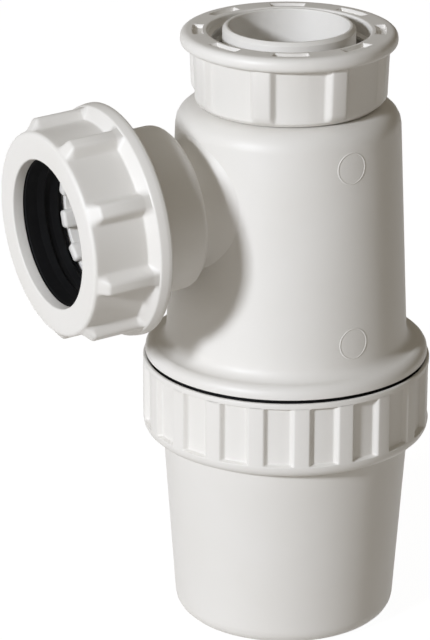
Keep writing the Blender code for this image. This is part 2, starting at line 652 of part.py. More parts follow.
def make_outlet_nut(pieces, branch):
    """Local Z runs out along the branch, from the rear rim to the front face."""
    length = OUTLET_NUT_LENGTH
    bevel = OUTLET_FACE_BEVEL
    panel = OUTLET_PANEL_R
    rear_panel = panel + OUTLET_PANEL_FLARE
    rib = OUTLET_RIB_R
    face_r = panel - bevel
    rib_rise = (rib - face_r) / OUTLET_RIB_BEVEL
    section = plain([(face_r, length)])
    section += [(panel, face_r + bevel * rib_rise, length - bevel)]
    section += [(panel, rib, length - OUTLET_RIB_BEVEL)]
    rim = OUTLET_RIM_THICKNESS
    section += [(rear_panel, rib, rim + OUTLET_SWEEP_HEIGHT)]
    section += [(rear_panel + OUTLET_SWEEP_PROUD, rib, rim + OUTLET_SWEEP_HEIGHT / 2)]
    rim_r = OUTLET_RIM_R - OUTLET_RIM_ROUND
    section += plain(arc(rim_r, rim - OUTLET_RIM_ROUND, OUTLET_RIM_ROUND, 60, 0, 2))
    section += plain(arc(rim_r, OUTLET_RIM_ROUND, OUTLET_RIM_ROUND, 0, -90, 2))
    bore_r = OUTLET_NUT_BORE_R
    lip_z = length - OUTLET_NUT_LIP
    section += plain([(bore_r + THREAD_GAP, 0.0), (bore_r, THREAD_GAP), (bore_r, lip_z)])
    section += plain([(OUTLET_HOLE_R, lip_z), (OUTLET_HOLE_R, length)])
    nut = ribbed_nut("outlet_nut", section, OUTLET_RIB_COUNT, OUTLET_RIB_START, OUTLET_RIB_TOP,
                     OUTLET_RIB_FOOT)
    nut.parent = branch
    nut.location = (0.0, 0.0, OUTLET_REACH - length)
    return add_piece(nut, pieces, WHITE_PLASTIC)


def make_outlet_seal(pieces, branch):
    """Head between the nut's lip and the socket's end, and a lipped sleeve in the socket."""
    head_r = OUTLET_NUT_BORE_R - 2 * SEAT_GAP
    sleeve_r = SEAL_POCKET_R - SEAT_GAP
    bore_r = OUTLET_SEAL_BORE_R
    lip_r = bore_r - OUTLET_SEAL_LIP
    length = SEAL_POCKET_DEPTH + SEAT_GAP - OUTLET_SEAL_END_GAP
    profile = [(head_r, OUTLET_SEAL_HEAD), (head_r, 0.0), (sleeve_r, 0.0)]
    profile += [(sleeve_r, -length), (bore_r, -length)]
    for i in (2, 1):
        crest_z = -i * OUTLET_SEAL_LIP_PITCH
        profile += [(bore_r, crest_z - OUTLET_SEAL_LIP_BACK), (lip_r, crest_z)]
        profile += [(bore_r, crest_z + OUTLET_SEAL_LIP_LEAD)]
    profile += [(bore_r, OUTLET_SEAL_HEAD)]
    seal = turned("outlet_seal", profile, BRANCH_STEPS)
    seal.parent = branch
    seal.location = (0.0, 0.0, SOCKET_END + SEAT_GAP)
    return add_piece(seal, pieces, BLACK_RUBBER)


def make_branch_axis(pieces):
    """Empty on the outlet's axis: local Z points out of the outlet and falls slightly."""
    branch = bpy.data.objects.new("outlet_axis", None)
    branch.location = (0.0, 0.0, OUTLET_Z)
    branch.rotation_euler = (math.pi / 2 + OUTLET_FALL, 0.0, -math.pi / 2)
    branch.empty_display_size = BRANCH_NECK_R
    pieces.objects.link(branch)
    return branch


def main():
    clear_scene()
    pieces = add_collection("anti_syphon_bottle_trap")
    tools = add_collection("cutters")
    branch = make_branch_axis(pieces)
    make_bottle(pieces, tools)
    make_bottle_seal(pieces)
    make_trap_body(pieces, tools, branch)
    make_dip_tube_seal(pieces)
    make_dip_tube(pieces, tools)
    make_bypass_sleeve(pieces, tools)
    make_inlet_washer(pieces)
    make_inlet_nut(pieces, tools)
    make_outlet_seal(pieces, branch)
    make_outlet_nut(pieces, branch)


main()
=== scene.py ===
"""Anti-syphon bottle trap: the finished look of each piece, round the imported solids.

Metres, +Z up. The origin is the centre of the bottle's flat base and the outlet points along -X.
"""

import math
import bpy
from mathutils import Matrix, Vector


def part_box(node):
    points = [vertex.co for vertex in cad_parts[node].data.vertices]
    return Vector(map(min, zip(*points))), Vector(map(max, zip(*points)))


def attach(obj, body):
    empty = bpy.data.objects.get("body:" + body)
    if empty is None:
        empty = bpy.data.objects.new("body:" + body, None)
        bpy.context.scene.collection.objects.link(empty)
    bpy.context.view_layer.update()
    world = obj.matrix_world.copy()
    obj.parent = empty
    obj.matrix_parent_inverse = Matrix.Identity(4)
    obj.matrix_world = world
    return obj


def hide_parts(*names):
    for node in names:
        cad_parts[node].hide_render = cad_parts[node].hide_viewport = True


bl_info = {
    "name": "Anti-syphon bottle trap",
    "version": (1, 0, 0),
    "blender": (4, 5, 0),
    "location": "3D View > Sidebar > Bottle trap",
    "description": "Makes a plastic bottle trap with its ribbed nuts, seals and screw threads",
    "category": "Object",
}

import bmesh
import bpy
from mathutils import Matrix, Vector

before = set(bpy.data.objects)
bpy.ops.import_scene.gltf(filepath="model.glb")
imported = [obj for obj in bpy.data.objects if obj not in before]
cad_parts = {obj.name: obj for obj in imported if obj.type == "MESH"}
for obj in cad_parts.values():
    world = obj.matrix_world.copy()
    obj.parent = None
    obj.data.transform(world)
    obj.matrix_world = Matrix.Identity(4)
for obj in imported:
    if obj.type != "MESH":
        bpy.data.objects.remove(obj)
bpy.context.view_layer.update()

# Levels up the trap's axis, from the solids
BOTTLE_SEAL_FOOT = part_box("bottle_seal")[0][2]
SKIRT_LENGTH = 0.0143
BODY_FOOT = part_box("trap_body")[0][2] + SKIRT_LENGTH
TUBE_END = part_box("dip_tube")[0][2]
TUBE_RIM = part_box("dip_tube")[1][2]
WASHER_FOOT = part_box("inlet_washer")[0][2]
INLET_NUT_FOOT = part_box("inlet_nut")[0][2]
OUTLET_RISE = 0.0539
OUTLET_LEVEL = BODY_FOOT + OUTLET_RISE
OUTLET_FALL = math.radians(3.0)

# Round the trap's axis
AXIS = 0.000001
BODY_TURNS = 288
TUBE_TURNS = 160
OUTLET_TURNS = 180

# How finely a rounded corner is drawn, and where shading breaks
FILLET_STEP = math.radians(20.0)
SHARP_EDGE = math.radians(38.0)

# Branch, measured out along its own axis
NECK_R = 0.0160
WATERWAY_R = 0.0135
FLARE_FOOT_R = 0.0200
FLARE_RUN = 0.0034
FLARE_STEPS = 10
FLARE_SUNK = 0.000004
FLARE_LIFT = 0.0015
SLOPE_STEP = 0.0001
SOCKET_END = 0.0740
WATERWAY_START = 0.0180
WATERWAY_END = 0.0375
STOP_BORE_R = 0.0206
STOP_FRONT = 0.0654
STOP_BACK = 0.0415
STOP_ROOT = 0.0006
STOP_TIP = 0.0026
STOP_WIDTH = 0.0054
STOP_EDGE = 0.0010
OUTLET_REACH = 0.0799
OUTLET_SEAL_LIFT = 0.0003

# Tapered body, measured up from the underside of its flange
FLANGE_TOP = 0.0038
WALL = 0.0025
WALL_BASE_R = 0.0361
WALL_BASE_HEIGHT = 0.0073
WALL_TOP_HEIGHT = 0.0714
WALL_SLOPE = -0.0028 / (WALL_TOP_HEIGHT - WALL_BASE_HEIGHT)
SHOULDER_HEIGHT = 0.0776

# Plain circles that the mould leaves on the body's wall
WITNESS_TURN = math.radians(-87.0)
WITNESS_LEVELS = (0.0132, 0.0663)
WITNESS_WIDTH = 0.00025
WITNESS_RISE = 0.45
WITNESS_POINTS = 64
WITNESS_FACETS = 8

# Screw threads: the wall's radius, the ridge's depth (inwards if negative), its foot and its length
THREADS = {
    "bottle": (0.0388, -0.0007, 0.0712, 0.0080),
    "skirt": (0.0368, 0.0007, -0.0118, 0.0080),
    "socket": (0.0253, 0.0008, 0.0606, 0.0108),
    "inlet_nut": (0.0239, -0.0011, 0.0122, 0.0072),
    "outlet_nut": (0.0274, -0.0007, 0.0030, 0.0120),
}
THREAD_PITCH = 0.0040
THREAD_CREST = 0.0009
THREAD_ROOT = 0.0025
THREAD_SUNK = 0.0003
THREAD_RUN_OUT = 0.06

# Share of a rib's sloped side that is drawn as a fillet
RIB_SOFTNESS = 0.35
OUTLET_RIB_SOFTNESS = 0.8

# Windows between the ribs of the bottle's collar
WINDOW_FOOT = 0.0627
WINDOW_TOP = 0.0815
COLLAR_INNER_R = 0.0400

# By-pass ports of the dip tube
PORT_LEVEL = 0.145
PORT_BAR = (0.08, 0.007, 0.008, 1.0)

# Grip ribs of the inlet nut, and the pockets in its rim
INLET_WALL_R = 0.0268
INLET_RIB_R = 0.0294
INLET_RIB_SPLAY = 0.0005
INLET_RIB_LENGTH = 0.0175
INLET_RIB_HEAD = 0.0178
INLET_RIB_FOOT = 0.0008
INLET_RIB_RUN = 0.0030
INLET_RIB_PROUD = 0.0018
POCKET_DEPTH = 0.0011
POCKET_LEVEL = 0.0216
POCKET_INNER_R = 0.0254
POCKET_OUTER_R = 0.0284
POCKET_EDGE = math.radians(0.8)

# Grip ribs of the outlet nut, bevelled to nothing at its front face
OUTLET_NUT_LENGTH = 0.0229
OUTLET_WALL_R = 0.0285
OUTLET_RIB_R = 0.0333
BEVEL_FOOT = 0.0196
BEVEL_BLEND = 0.0005
BEVEL_SLOPE = 1.27

# Floor: what it looks like to the camera, and what it is to the light
FLOOR_HALF = 4.0
FLOOR_PAINT = (0.64, 0.61, 0.57, 1.0)
FLOOR_GLOW = 1.13
FLOOR_WHITE_SHARE = 0.86
WHITE = (1.0, 1.0, 1.0, 1.0)

# Surround and key light, at angles round Z from -Y and above the floor
BRIGHT_SIDE_TURN = math.radians(-79.0)
BRIGHT_SIDE_CLIMB = math.radians(22.0)
BRIGHT_SIDE_COLOUR = (1.0, 0.955, 0.875, 1.0)
DIM_SIDE_COLOUR = (1.0, 0.85, 0.61, 1.0)
KEY_TURN = math.radians(-69.0)
KEY_CLIMB = math.radians(23.0)
KEY_DISTANCE = 2.4
KEY_SIZE = 0.28
KEY_COLOUR = (0.885, 0.925, 1.0)
KEY_AIM = Vector((-0.02, 0.0, 0.10))

# Camera, fitted to the photograph: it looks at a point beside the body's axis
VIEW_TURN = math.radians(-29.2)
VIEW_CLIMB = math.radians(20.765)
VIEW_ROLL = math.radians(0.120)
VIEW_DISTANCE = 1.02628
VIEW_SIDE = -0.02145
VIEW_LEVEL = 0.092826
VIEW_FOCAL_PIXELS = 3412.63
VIEW_PIXELS = 640.0
SENSOR = 36.0


def millimetres(*corners):
    """Section corners written in millimetres: radius, height and the corner's fillet."""
    return [(r / 1000, z / 1000, fillet / 1000) for r, z, fillet in corners]


def rounded(corners, closed=True):
    """Section points with each corner turned into an arc of its own fillet."""
    points = []
    last = len(corners) - 1
    for i, (r, z, fillet) in enumerate(corners):
        here = Vector((r, z))
        before = Vector(corners[i - 1][:2]) - here
        after = Vector(corners[(i + 1) % len(corners)][:2]) - here
        if fillet == 0.0 or (not closed and i in (0, last)):
            points.append((r, z))
            continue
        inner_angle = before.angle(after)
        reach = fillet / math.tan(inner_angle / 2)
        start = here + before.normalized() * reach
        end = here + after.normalized() * reach
        middle = before.normalized() + after.normalized()
        centre = here + middle.normalized() * fillet / math.sin(inner_angle / 2)
        first = math.atan2(start.y - centre.y, start.x - centre.x)
        sweep = math.atan2(end.y - centre.y, end.x - centre.x) - first
        sweep = (sweep + math.pi) % (2 * math.pi) - math.pi
        steps = max(2, math.ceil(abs(sweep) / FILLET_STEP))
        for k in range(steps + 1):
            angle = first + sweep * k / steps
            points.append((centre.x + fillet * math.cos(angle),
                           centre.y + fillet * math.sin(angle)))
    return points


def even_turns(count):
    """Angles evenly spaced round a full turn."""
    return [2 * math.pi * i / count for i in range(count)]


def ribbed_turns(count, start, top, foot, softness=RIB_SOFTNESS):
    """Angles that put the facets of a ribbed piece on its ribs' edges."""
    pitch = 2 * math.pi / count
    soft = (foot - top) * softness / 2
    stops = (top / 2 - soft, foot / 2 + soft, pitch - foot / 2 - soft, pitch - top / 2 + soft)
    turns = []
    for rib in range(count):
        middle = start + rib * pitch
        for low, high, steps in zip(stops, stops[1:] + (pitch + stops[0],), (8, 6, 8, 4)):
            turns += [middle + low + (high - low) * k / steps for k in range(steps)]
    return turns


def place_shell(rings, closed):
    """A closed mesh over rings of points; a ring of one point is a pole."""
    bm = bmesh.new()
    rows = [[bm.verts.new(point) for point in ring] for ring in rings]
    count = max(len(row) for row in rows)
    pairs = list(zip(rows, rows[1:]))
    if closed:
        pairs.append((rows[-1], rows[0]))
    for near, far in pairs:
        for i in range(count):
            j = (i + 1) % count
            loop = (near[i % len(near)], near[j % len(near)], far[j % len(far)], far[i % len(far)])
            corners = list(dict.fromkeys(loop))
            if len(corners) > 2:
                bm.faces.new(corners)
    bmesh.ops.recalc_face_normals(bm, faces=bm.faces)
    return bm


def turned(name, section, turns, closed=True, reliefs=None):
    """A section turned round Z.

    Each named relief(radius, height) says how far ribs push a point out and up.
    """
    rings = []
    for r, z in section:
        row_turns = turns if r > AXIS else turns[:1]
        rings.append([(r * math.cos(a), r * math.sin(a), z) for a in row_turns])
    bm = place_shell(rings, closed)
    for label, relief in (reliefs or {}).items():
        layer = bm.verts.layers.float_vector.new(label)
        for vert in bm.verts:
            out, up = relief(math.hypot(vert.co.x, vert.co.y), vert.co.z)
            vert[layer] = (out, up, 0.0)
    return finished_mesh(name, bm)


def finished_mesh(name, bm):
    """The mesh of a bmesh, which is freed."""
    mesh = bpy.data.meshes.new(name)
    bm.to_mesh(mesh)
    bm.free()
    return mesh


def worked(name, mesh, modifiers=()):
    """The mesh that a list of modifier steps makes of one mesh."""
    obj = bpy.data.objects.new(name, mesh)
    bpy.context.scene.collection.objects.link(obj)
    for step in modifiers:
        step(obj)
    evaluated = obj.evaluated_get(bpy.context.evaluated_depsgraph_get())
    result = bpy.data.meshes.new_from_object(evaluated)
    obj.modifiers.clear()
    bpy.data.objects.remove(obj, do_unlink=True)
    return result


def cut_by(tool_mesh):
    """A step that cuts a tool's shape out of a mesh."""
    def step(obj):
        tool = bpy.data.objects.new("tool", tool_mesh)
        cut = obj.modifiers.new("Cut", "BOOLEAN")
        cut.operation = "DIFFERENCE"
        cut.object = tool
    return step


def shaped_by(tree, **values):
    """A step that runs a Geometry Nodes tree; each value is named after its input."""
    def step(obj):
        modifier = obj.modifiers.new(tree.name, "NODES")
        modifier.node_group = tree
        for item in tree.interface.items_tree:
            key = item.name.lower().replace(" ", "_")
            if item.in_out == "INPUT" and key in values:
                modifier[item.identifier] = values[key]
    return step


def piece(name, shells, material, body, nodes, place=Matrix()):
    """One object from its closed shells: set in place, on its body and instead of its nodes."""
    bm = bmesh.new()
    for shell in shells:
        bm.from_mesh(shell)
        bpy.data.meshes.remove(shell)
    bmesh.ops.transform(bm, matrix=place, verts=bm.verts)
    for layer in list(bm.verts.layers.float_vector.values()):
        bm.verts.layers.float_vector.remove(layer)
    mesh = finished_mesh(name, bm)
    mesh.materials.clear()
    mesh.materials.append(material)
    mesh.shade_smooth()
    mesh.set_sharp_from_angle(angle=SHARP_EDGE)
    obj = bpy.data.objects.new(name, mesh)
    bpy.context.scene.collection.objects.link(obj)
    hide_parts(*nodes)
    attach(obj, body)
    return obj


class Wire:
    """One socket of a node tree, so that sums on values add Math nodes."""

    def __init__(self, graph, socket):
        self.graph = graph
        self.socket = socket

    def math(self, operation, *others):
        values = {0: self}
        values.update({i + 1: other for i, other in enumerate(others)})
        return self.graph.wire("ShaderNodeMath", {"operation": operation}, values)

    def __add__(self, other):
        return self.math("ADD", other)

    def __radd__(self, other):
        return self + other

    def __mul__(self, other):
        return self.math("MULTIPLY", other)

    def __rmul__(self, other):
        return self * other

    def __sub__(self, other):
        return self.math("SUBTRACT", other)

    def __rsub__(self, other):
        return self * -1.0 + other

    def __truediv__(self, other):
        return self.math("DIVIDE", other)

    def __rtruediv__(self, other):
        return self.math("POWER", -1.0) * other


class Graph:
    """A node tree under construction."""

    def __init__(self, tree):
        self.tree = tree

    def node(self, kind, settings=None, values=None):
        """Adds a node: its settings first, then the values or links of its sockets."""
        node = self.tree.nodes.new(kind)
        for name, value in (settings or {}).items():
            setattr(node, name, value)
        for key, value in (values or {}).items():
            self.feed(node.inputs[key], value)
        return node

    def feed(self, socket, value):
        """Links a wire to a socket, or sets the socket's own value."""
        if isinstance(value, Wire):
            self.tree.links.new(value.socket, socket)
        else:
            socket.default_value = value

    def wire(self, kind, settings=None, values=None, output=0):
        """Adds a node and gives one of its outputs."""
        return Wire(self, self.node(kind, settings, values).outputs[output])


class ShapeGraph(Graph):
    """A Geometry Nodes tree with named inputs, which ends in real geometry with a material."""

    def __init__(self, name, inputs):
        super().__init__(bpy.data.node_groups.new(name, "GeometryNodeTree"))
        interface = self.tree.interface
        interface.new_socket("Geometry", in_out="INPUT", socket_type="NodeSocketGeometry")
        for label, kind, default in inputs:
            socket = interface.new_socket(label, in_out="INPUT", socket_type="NodeSocket" + kind)
            if default is not None:
                socket.default_value = default
        interface.new_socket("Material", in_out="INPUT", socket_type="NodeSocketMaterial")
        interface.new_socket("Geometry", in_out="OUTPUT", socket_type="NodeSocketGeometry")
        self.entry = self.tree.nodes.new("NodeGroupInput")

    def input(self, label):
        return Wire(self, self.entry.outputs[label])

    def close(self, geometry):
        """Ends the tree in real geometry that carries the material."""
        real = self.wire("GeometryNodeRealizeInstances", None, {0: geometry})
        values = {"Geometry": real, "Material": self.input("Material")}
        coloured = self.wire("GeometryNodeSetMaterial", None, values)
        self.feed(self.tree.nodes.new("NodeGroupOutput").inputs[0], coloured)
        return self.tree


def make_relief_tree():
    """Pushes the points of a turned piece out and up where its evenly spaced ribs stand."""
    graph = ShapeGraph("Ribbed relief", (
        ("Relief", "String", "ribs"), ("Count", "Int", 12), ("Start", "Float", 0.0),
        ("Top", "Float", 0.1), ("Foot", "Float", 0.2), ("Softness", "Float", RIB_SOFTNESS)))
    parts = graph.node("ShaderNodeSeparateXYZ", None, {0: graph.wire("GeometryNodeInputPosition")})
    x = Wire(graph, parts.outputs[0])
    y = Wire(graph, parts.outputs[1])
    half_pitch = math.pi / graph.input("Count")
    turn = (y.math("ARCTAN2", x) - graph.input("Start")).math("WRAP", half_pitch, half_pitch * -1.0)
    half_foot = graph.input("Foot") / 2.0
    half_top = graph.input("Top") / 2.0
    climb = (half_foot - turn.math("ABSOLUTE")) / (half_foot - half_top)
    soft = graph.input("Softness")
    mask = climb.math("SMOOTH_MIN", 1.0, soft).math("SMOOTH_MAX", 0.0, soft)
    settings = {"data_type": "FLOAT_VECTOR"}
    values = {"Name": graph.input("Relief")}
    relief = graph.node("GeometryNodeInputNamedAttribute", settings, values)
    amounts = graph.node("ShaderNodeSeparateXYZ", None, {0: Wire(graph, relief.outputs[0])})
    out = Wire(graph, amounts.outputs[0]) * mask
    up = Wire(graph, amounts.outputs[1]) * mask
    radius = (x * x + y * y).math("SQRT").math("MAXIMUM", AXIS)
    values = {0: x / radius * out, 1: y / radius * out, 2: up}
    push = graph.wire("ShaderNodeCombineXYZ", None, values)
    values = {"Geometry": graph.input("Geometry"), "Offset": push}
    return graph.close(graph.wire("GeometryNodeSetPosition", None, values))


def make_thread_tree():
    """A screw thread's ridge that runs up a wall and dies away into it at both ends."""
    graph = ShapeGraph("Screw thread", (
        ("Radius", "Float", 0.02), ("Depth", "Float", 0.001), ("Turns", "Float", 3.0),
        ("Pitch", "Float", THREAD_PITCH), ("Foot", "Float", 0.0), ("Crest", "Float", THREAD_CREST),
        ("Root", "Float", THREAD_ROOT), ("Sunk", "Float", THREAD_SUNK),
        ("Run out", "Float", THREAD_RUN_OUT)))
    radius = graph.input("Radius")
    turns = graph.input("Turns")
    spiral = graph.wire("GeometryNodeCurveSpiral", None, {
        "Resolution": 72, "Rotations": turns, "Start Radius": radius, "End Radius": radius,
        "Height": turns * graph.input("Pitch")})
    along = graph.wire("GeometryNodeSplineParameter")
    end_distance = along.math("MINIMUM", 1.0 - along)
    fade = (end_distance / graph.input("Run out")).math("MINIMUM", 1.0).math("MAXIMUM", 0.02)
    faded = graph.wire("GeometryNodeSetCurveRadius", None, {"Curve": spiral, "Radius": fade})
    upright = graph.wire("GeometryNodeSetCurveNormal", {"mode": "Z_UP"}, {"Curve": faded})
    outward = graph.input("Depth") * -1.0
    sunk = outward.math("SIGN") * graph.input("Sunk") * -1.0
    half_root = graph.input("Root") / 2.0
    half_crest = graph.input("Crest") / 2.0
    corners = ((sunk, half_root * -1.0), (outward, half_crest * -1.0),
               (outward, half_crest), (sunk, half_root))
    values = {}
    for i, (across, height) in enumerate(corners):
        point = graph.wire("ShaderNodeCombineXYZ", None, {0: across, 1: height})
        values[f"Point {i + 1}"] = point
    ridge = graph.wire("GeometryNodeCurvePrimitiveQuadrilateral", {"mode": "POINTS"}, values)
    swept = graph.wire("GeometryNodeCurveToMesh", None, {
        "Curve": upright, "Profile Curve": ridge, "Fill Caps": True})
    lift = graph.wire("ShaderNodeCombineXYZ", None, {2: graph.input("Foot")})
    placed = graph.wire("GeometryNodeTransform", None, {"Geometry": swept, "Translation": lift})
    return graph.close(placed)


def make_ring_tree():
    """Copies of one shape, evenly spaced round Z."""
    graph = ShapeGraph("Ring of pieces", (("Count", "Int", 12), ("Start", "Float", 0.0)))
    count = graph.input("Count")
    points = graph.wire("GeometryNodePoints", None, {"Count": count})
    turn = graph.wire("GeometryNodeInputIndex") * (2 * math.pi / count) + graph.input("Start")
    values = {"Axis": (0.0, 0.0, 1.0), "Angle": turn}
    rotation = graph.wire("FunctionNodeAxisAngleToRotation", None, values)
    ring = graph.wire("GeometryNodeInstanceOnPoints", None, {
        "Points": points, "Instance": graph.input("Geometry"), "Rotation": rotation})
    return graph.close(ring)


def tree_of(name, make):
    """The node tree of this name, made when it is first asked for."""
    return bpy.data.node_groups.get(name) or make()


def new_material(name):
    """A material whose Principled shader is ready to take its sockets."""
    material = bpy.data.materials.new(name)
    material.use_nodes = True
    graph = Graph(material.node_tree)
    shader = material.node_tree.nodes["Principled BSDF"]
    return material, graph, shader


def blend_colours(graph, factor, first, second):
    """A colour between two."""
    node = graph.node("ShaderNodeMix", {"data_type": "RGBA"}, {0: factor, 6: first, 7: second})
    return Wire(graph, node.outputs[2])


def noise(graph, place, scale, detail, roughness=0.5):
    """Even noise from 0 to 1 through space."""
    return graph.wire("ShaderNodeTexNoise", None, {
        "Vector": place, "Scale": scale, "Detail": detail, "Roughness": roughness})


def make_plastic(finish):
    """Satin moulded polypropylene: a faint grain, slow sink marks and a slightly uneven tone."""
    material, graph, shader = new_material("moulded_polypropylene")
    place = graph.wire("ShaderNodeTexCoord", None, None, "Object")
    cloud = noise(graph, place, 38.0, 3.0)
    grain = noise(graph, place, 2600.0, 2.0)
    scuffs = noise(graph, place, 420.0, 4.0, 0.65)
    tone = (cloud - 0.35) * 1.6 + (grain - 0.5) * 0.25
    shade = tone.math("MINIMUM", 1.0).math("MAXIMUM", 0.0)
    light = (*finish.plastic, 1.0)
    dark = (finish.plastic[0] * 0.965, finish.plastic[1] * 0.960, finish.plastic[2] * 0.945, 1.0)
    graph.feed(shader.inputs["Base Color"], blend_colours(graph, shade, light, dark))
    rough = (scuffs - 0.5) * 0.16 + (grain - 0.5) * 0.06 + finish.plastic_roughness
    graph.feed(shader.inputs["Roughness"], rough)
    shader.inputs["IOR"].default_value = 1.49
    fine = graph.wire("ShaderNodeBump", None, {
        "Strength": 0.25, "Distance": 0.00004, "Height": grain})
    slow = graph.wire("ShaderNodeBump", None, {
        "Strength": 0.5, "Distance": 0.00035, "Height": cloud, "Normal": fine})
    graph.feed(shader.inputs["Normal"], slow)
    return material


def make_rubber(finish):
    """Matt black rubber with a powdery bloom."""
    material, graph, shader = new_material("black_rubber")
    place = graph.wire("ShaderNodeTexCoord", None, None, "Object")
    bloom = noise(graph, place, 260.0, 5.0, 0.6)
    grain = noise(graph, place, 3200.0, 2.0)
    shade = ((bloom - 0.45) * 2.2).math("MINIMUM", 1.0).math("MAXIMUM", 0.0)
    dark = (*finish.rubber, 1.0)
    dusty = tuple(share * 1.5 for share in finish.rubber) + (1.0,)
    graph.feed(shader.inputs["Base Color"], blend_colours(graph, shade, dark, dusty))
    graph.feed(shader.inputs["Roughness"], (bloom - 0.5) * 0.2 + finish.rubber_roughness)
    shader.inputs["Specular IOR Level"].default_value = 0.12
    bump = graph.wire("ShaderNodeBump", None, {
        "Strength": 0.3, "Distance": 0.00005, "Height": grain})
    graph.feed(shader.inputs["Normal"], bump)
    return material


def plastic():
    """The plastic of every moulding, made when it is first asked for."""
    made = bpy.data.materials.get("moulded_polypropylene")
    return made or make_plastic(bpy.context.scene.trap_finish)


def rubber():
    """The rubber of every seal, made when it is first asked for."""
    made = bpy.data.materials.get("black_rubber")
    return made or make_rubber(bpy.context.scene.trap_finish)


def thread(name):
    """The ridge of one of the trap's threads."""
    radius, depth, foot, length = THREADS[name]
    turns = length / THREAD_PITCH
    step = shaped_by(tree_of("Screw thread", make_thread_tree), radius=radius, depth=depth,
                     turns=turns, foot=foot, run_out=THREAD_RUN_OUT, pitch=THREAD_PITCH,
                     crest=THREAD_CREST, root=THREAD_ROOT, sunk=THREAD_SUNK, material=plastic())
    return worked("thread", bpy.data.meshes.new("thread_seed"), [step])


def relief_step(label, count, start, top, foot, softness=RIB_SOFTNESS):
    """A step that raises or sinks the named relief of a turned piece at its evenly spaced ribs."""
    return shaped_by(tree_of("Ribbed relief", make_relief_tree), relief=label, count=count,
                     start=start, top=top, foot=foot, softness=softness, material=plastic())


def direction(turn, climb):
    """Unit vector at an angle round Z from -Y and an angle above the floor."""
    level = math.cos(climb)
    return Vector((math.sin(turn) * level, -math.cos(turn) * level, math.sin(climb)))


def outlet_place():
    """Where the outlet's own frame lies: its Z runs out along the branch and falls slightly."""
    across = Matrix.Rotation(-math.pi / 2, 4, "Z")
    down = Matrix.Rotation(math.pi / 2 + OUTLET_FALL, 4, "X")
    return Matrix.Translation((0.0, 0.0, OUTLET_LEVEL)) @ across @ down


def wall_radius(height):
    """Outside radius of the body's tapered wall at a height above the flange's foot."""
    return WALL_BASE_R + WALL_SLOPE * (height - WALL_BASE_HEIGHT)


def wall_distance(across, up):
    """How far out along the branch a line beside its axis leaves the body's tapered wall."""
    sine = math.sin(OUTLET_FALL)
    cosine = math.cos(OUTLET_FALL)
    radius = wall_radius(OUTLET_RISE + up * cosine)
    shrink = WALL_SLOPE * sine
    a = cosine ** 2 - shrink ** 2
    b = cosine * up * sine + radius * shrink
    c = (up * sine) ** 2 + across ** 2 - radius ** 2
    return (math.sqrt(b * b - a * c) - b) / a


def flare_rings():
    """Rings of the neck's flare, which leaves the wall at a slight angle and runs into the neck."""
    rings = [[] for _ in range(FLARE_STEPS + 3)]
    for turn in even_turns(OUTLET_TURNS):
        cosine = math.cos(turn)
        sine = math.sin(turn)

        def out(radius):
            return wall_distance(radius * cosine, radius * sine)

        foot = out(FLARE_FOOT_R) - FLARE_SUNK
        rise = out(FLARE_FOOT_R + SLOPE_STEP) - out(FLARE_FOOT_R - SLOPE_STEP)
        slope = rise / (2 * SLOPE_STEP)
        corner = foot + slope * (NECK_R - FLARE_FOOT_R) + FLARE_LIFT
        rings[0].append((WATERWAY_R * cosine, WATERWAY_R * sine, out(WATERWAY_R) - WALL / 2))
        rings[1].append((FLARE_FOOT_R * cosine, FLARE_FOOT_R * sine, foot - WALL / 3))
        for k in range(FLARE_STEPS + 1):
            t = k / FLARE_STEPS
            radius = FLARE_FOOT_R * (1 - t) ** 2 + 2 * NECK_R * t * (1 - t) + NECK_R * t ** 2
            along = foot * (1 - t) ** 2 + 2 * corner * t * (1 - t) + (corner + FLARE_RUN) * t ** 2
            rings[k + 2].append((radius * cosine, radius * sine, along))
    return rings


def make_branch():
    """The outlet branch as one closed shell: flare, neck, socket and its stepped bore."""
    corners = millimetres(
        (16.0, 37.2, 0.0), (16.0, 39.9, 0.9), (24.3, 39.9, 2.0), (24.3, 57.7, 0.3),
        (25.3, 58.7, 0.3), (25.3, 73.2, 0.2), (24.7, 74.0, 0.2), (23.4, 74.0, 0.3),
        (23.4, 63.4, 0.2), (20.6, 63.4, 0.3), (20.6, 43.2, 0.5), (13.52, 43.2, 0.4),
        (13.52, 40.0, 0.0))
    rings = flare_rings()
    for r, z in rounded(corners, closed=False):
        rings.append([(r * math.cos(a), r * math.sin(a), z) for a in even_turns(OUTLET_TURNS)])
    return finished_mesh("branch", place_shell(rings, closed=True))


def make_stop_rib():
    """One axial rib of the pipe stop, with rounded edges."""
    bm = bmesh.new()
    root = STOP_BORE_R + STOP_ROOT
    tip = STOP_BORE_R - STOP_TIP
    size = (root - tip, STOP_WIDTH, STOP_FRONT - STOP_BACK, 1.0)
    place = Matrix.Translation(((root + tip) / 2, 0.0, (STOP_FRONT + STOP_BACK) / 2))
    bmesh.ops.create_cube(bm, size=1.0, matrix=place @ Matrix.Diagonal(size))
    bmesh.ops.bevel(bm, geom=bm.edges[:], offset=STOP_EDGE, segments=3, profile=0.5, affect="EDGES")
    return finished_mesh("stop_rib", bm)


def make_witness_ring(height, radius):
    """A thin plain circle that the mould leaves standing on the tapered wall."""
    rings = []
    for around in even_turns(WITNESS_POINTS):
        level = height + radius * math.sin(around)
        wall = wall_radius(level)
        side = radius * math.cos(around) / wall
        ring = []
        for lean in even_turns(WITNESS_FACETS):
            share = 1 + WITNESS_WIDTH * math.cos(lean) / radius
            stand = wall + WITNESS_WIDTH * WITNESS_RISE * math.sin(lean)
            angle = WITNESS_TURN + side * share
            z = height + (level - height) * share
            ring.append((stand * math.cos(angle), stand * math.sin(angle), z))
        rings.append(ring)
    return finished_mesh("witness_ring", place_shell(rings, closed=True))


